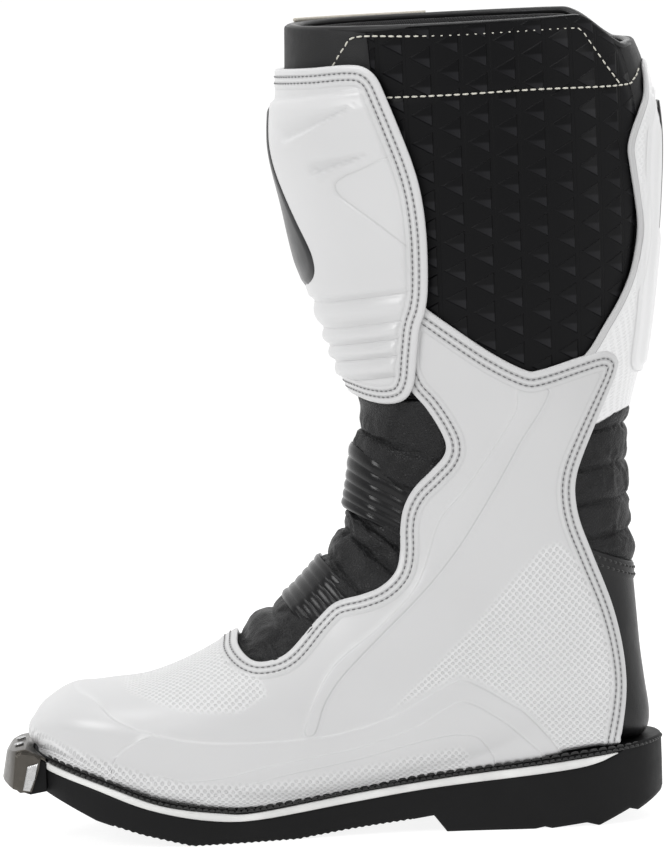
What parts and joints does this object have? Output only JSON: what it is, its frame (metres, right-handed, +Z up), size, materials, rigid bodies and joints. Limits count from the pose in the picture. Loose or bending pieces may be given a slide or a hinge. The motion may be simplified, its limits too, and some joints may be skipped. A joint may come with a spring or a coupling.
{
  "type": "motocross boot",
  "caption": "Tall white and black off-road motorcycle boot with a moulded shell, shin and calf plates, flexing bellows at the ankle and lever buckles that open.",
  "frame": {"origin": "on the ground under the middle of the whole boot's box, toe guard and buckles included", "axes": "+Z up out of the collar, -X towards the toe, -Y towards the inner side of the leg (a right boot), so the buckles are on +Y"},
  "size_m": [0.3281, 0.1355, 0.391],
  "materials": {
    "black_rubber": "matte moulded rubber",
    "white_rubber": "smooth white rubber stripe",
    "black_welt": "stitched welt, satin",
    "toe_steel": "brushed with worn bright edges",
    "shank_steel": "plain",
    "insole_board": "fibre board",
    "footbed_foam": "foam with fabric top",
    "liner_fabric": "knitted lining",
    "white_shell": "moulded, satin gloss with a fine dot grain",
    "white_plate": "moulded, glossy",
    "black_leather": "smooth coated leather",
    "bellows_leather": "grained, padded folds",
    "black_inlay": "satin black inlay",
    "gaiter_fabric": "smooth coated fabric",
    "embossed_pad": "embossed with a grid of triangles, semi-gloss",
    "binding": "folded tape",
    "strap_plastic": "ribbed, glossy",
    "buckle_metal": "satin cast",
    "pin_steel": "turned",
    "lever_plastic": "satin cast",
    "catch_plastic": "moulded"
  },
  "bodies": {
    "foot": {"outsole": "black_rubber", "midsole": "white_rubber", "welt": "black_welt", "toe_bumper": "black_rubber", "toe_guard": "toe_steel", "toe_guard_screws": "toe_steel", "shank": "shank_steel", "insole_board": "insole_board", "footbed": "footbed_foam", "foot_liner": "liner_fabric", "ankle_liner": "liner_fabric", "foot_shell": "white_shell", "lateral_shell": "white_shell", "heel_counter": "black_leather", "instep_bellows": "bellows_leather", "achilles_bellows": "bellows_leather", "strap_1": "strap_plastic", "strap_2": "strap_plastic", "catch_1": "catch_plastic", "catch_2": "catch_plastic", "catch_rivets_1": "pin_steel", "catch_rivets_2": "pin_steel"},
    "shaft": {"cuff_liner": "liner_fabric", "shin_plate": "white_plate", "shin_inlay": "black_inlay", "calf_plate": "white_plate", "calf_inlay": "black_inlay", "front_gaiter": "gaiter_fabric", "rear_gaiter": "gaiter_fabric", "medial_pad": "embossed_pad", "lateral_pad": "embossed_pad", "collar_binding": "binding", "strap_3": "strap_plastic", "strap_4": "strap_plastic", "catch_3": "catch_plastic", "catch_4": "catch_plastic", "catch_rivets_3": "pin_steel", "catch_rivets_4": "pin_steel"},
    "strap_end_1": {"strap_end_1": "strap_plastic", "bracket_1": "buckle_metal", "lever_pin_1": "pin_steel"},
    "strap_end_2": {"strap_end_2": "strap_plastic", "bracket_2": "buckle_metal", "lever_pin_2": "pin_steel"},
    "strap_end_3": {"strap_end_3": "strap_plastic", "bracket_3": "buckle_metal", "lever_pin_3": "pin_steel"},
    "strap_end_4": {"strap_end_4": "strap_plastic", "bracket_4": "buckle_metal", "lever_pin_4": "pin_steel"},
    "lever_1": {"lever_1": "lever_plastic"},
    "lever_2": {"lever_2": "lever_plastic"},
    "lever_3": {"lever_3": "lever_plastic"},
    "lever_4": {"lever_4": "lever_plastic"}
  },
  "joints": [
    {"name": "ankle_flex", "type": "hinge", "parent": "foot", "child": "shaft", "pos_m": [0.0839, -0.0068, 0.16], "axis": [0, -1, 0], "range_deg": [-5, 14], "deforming": ["ankle_liner", "foot_shell", "lateral_shell", "instep_bellows", "achilles_bellows"]},
    {"name": "strap_1_swing", "type": "hinge", "parent": "foot", "child": "strap_end_1", "pos_m": [-0.01483, 0.01976, 0.11728], "axis": [0.7618, -0.0039, 0.6478], "range_deg": [0, 55]},
    {"name": "lever_1_open", "type": "hinge", "parent": "strap_end_1", "child": "lever_1", "pos_m": [-0.00016, 0.04139, 0.10337], "axis": [0.7921, -0.1383, 0.5945], "range_deg": [0, 100]},
    {"name": "strap_2_swing", "type": "hinge", "parent": "foot", "child": "strap_end_2", "pos_m": [0.01695, 0.02127, 0.15894], "axis": [0.39, 0.2113, 0.8963], "range_deg": [0, 55]},
    {"name": "lever_2_open", "type": "hinge", "parent": "strap_end_2", "child": "lever_2", "pos_m": [0.04167, 0.03735, 0.14468], "axis": [0.4976, 0.1083, 0.8606], "range_deg": [0, 100]},
    {"name": "strap_3_swing", "type": "hinge", "parent": "shaft", "child": "strap_end_3", "pos_m": [0.04804, 0.05137, 0.25722], "axis": [-0.0029, 0.1485, 0.9889], "range_deg": [0, 55]},
    {"name": "lever_3_open", "type": "hinge", "parent": "strap_end_3", "child": "lever_3", "pos_m": [0.0853, 0.05792, 0.25603], "axis": [0.0337, 0.1153, 0.9928], "range_deg": [0, 100]},
    {"name": "strap_4_swing", "type": "hinge", "parent": "shaft", "child": "strap_end_4", "pos_m": [0.03411, 0.05586, 0.32873], "axis": [-0.0347, 0.0469, 0.9983], "range_deg": [0, 55]},
    {"name": "lever_4_open", "type": "hinge", "parent": "strap_end_4", "child": "lever_4", "pos_m": [0.07574, 0.06428, 0.32953], "axis": [-0.022, 0.0439, 0.9988], "range_deg": [0, 100]}
  ]
}
